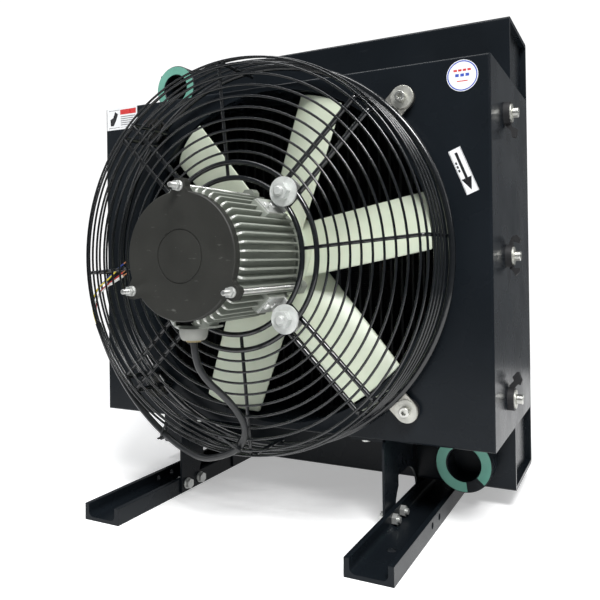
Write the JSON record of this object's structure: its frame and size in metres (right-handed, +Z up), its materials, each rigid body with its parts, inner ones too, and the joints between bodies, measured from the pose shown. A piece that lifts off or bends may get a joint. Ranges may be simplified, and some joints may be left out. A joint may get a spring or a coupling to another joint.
{
  "type": "hydraulic oil cooler",
  "caption": "Air-blast oil cooler: finned core with oil tanks and threaded ports, sheet shroud, wire guard carrying a finned motor and axial fan, legs on channel rails.",
  "frame": {"origin": "floor level at the centre of the rails' four anchor holes", "axes": "+Z up, +Y from the fan side to the core's rear, +X to the right as seen from the fan side; the fan turns about Y"},
  "size_m": [0.6352, 0.591, 0.6785],
  "materials": {
    "black_coat": "semi-gloss black powder coat",
    "tank_coat": "semi-gloss black powder coat over aluminium",
    "core_black": "matt black spray over aluminium",
    "mask_green": "mint-green masking film",
    "guard_black": "glossy black coated wire",
    "zinc_steel": "bright zinc plate",
    "strap_steel": "bare zinc strap",
    "black_rubber": "matt",
    "motor_grey": "grey-green paint over die-cast aluminium",
    "cap_charcoal": "matt charcoal paint, light scuffs",
    "lamination_steel": "stacked laminations",
    "copper": "bare copper",
    "machined_steel": "ground",
    "fan_green": "pale cream-green moulded plastic, light sheen",
    "gland_grey": "moulded nylon",
    "cable_black": "smooth satin sheath",
    "wire_blue": "glossy insulation",
    "wire_yellow": "glossy insulation",
    "wire_red": "glossy insulation",
    "wire_white": "glossy insulation",
    "label_paper": "printed film"
  },
  "bodies": {
    "frame": {"shroud": "black_coat", "left_leg": "black_coat", "right_leg": "black_coat", "left_rail": "black_coat", "right_rail": "black_coat", "left_side_plate": "tank_coat", "right_side_plate": "tank_coat", "top_tank": "tank_coat", "bottom_tank": "tank_coat", "tank_end_caps": "tank_coat", "oil_inlet_boss": "tank_coat", "oil_outlet_boss": "tank_coat", "oil_tubes": "core_black", "air_fins": "core_black", "header_plates": "core_black", "port_mask_rings": "mask_green", "guard_inner_rings": "guard_black", "guard_front_rings": "guard_black", "guard_side_rings": "guard_black", "guard_base_ring": "guard_black", "guard_radial_wires": "guard_black", "guard_support_rods": "guard_black", "small_screws": "zinc_steel", "shroud_cap_screws": "zinc_steel", "shroud_washers": "zinc_steel", "shroud_nuts": "zinc_steel", "clamp_bolts": "zinc_steel", "clamp_washers": "zinc_steel", "tie_studs": "zinc_steel", "stud_nuts": "zinc_steel", "leg_bolts": "zinc_steel", "motor_brackets": "zinc_steel", "guard_ears": "strap_steel", "side_rubber_mounts": "black_rubber", "ear_rubber_spacers": "black_rubber", "motor_housing": "motor_grey", "motor_rear_shield": "motor_grey", "motor_front_cap": "cap_charcoal", "stator_core": "lamination_steel", "stator_windings": "copper", "lead_cores": "copper", "bearing_outer_rings": "machined_steel", "cable_gland": "gland_grey", "motor_cable": "cable_black", "cable_ties": "cable_black", "lead_blue": "wire_blue", "lead_yellow": "wire_yellow", "lead_red": "wire_red", "lead_white": "wire_white", "lead_sleeve": "wire_white", "warning_label": "label_paper", "round_label": "label_paper", "arrow_label": "label_paper"},
    "rotor": {"rotor_core": "lamination_steel", "motor_shaft": "machined_steel", "bearing_inner_rings": "machined_steel", "bearing_balls": "machined_steel", "fan_hub": "fan_green", "fan_blades": "fan_green", "fan_fasteners": "zinc_steel"}
  },
  "joints": [
    {"name": "fan_spin", "type": "hinge", "parent": "frame", "child": "rotor", "pos_m": [0, -0.117, 0.353], "axis": [0, 1, 0], "continuous": true}
  ]
}
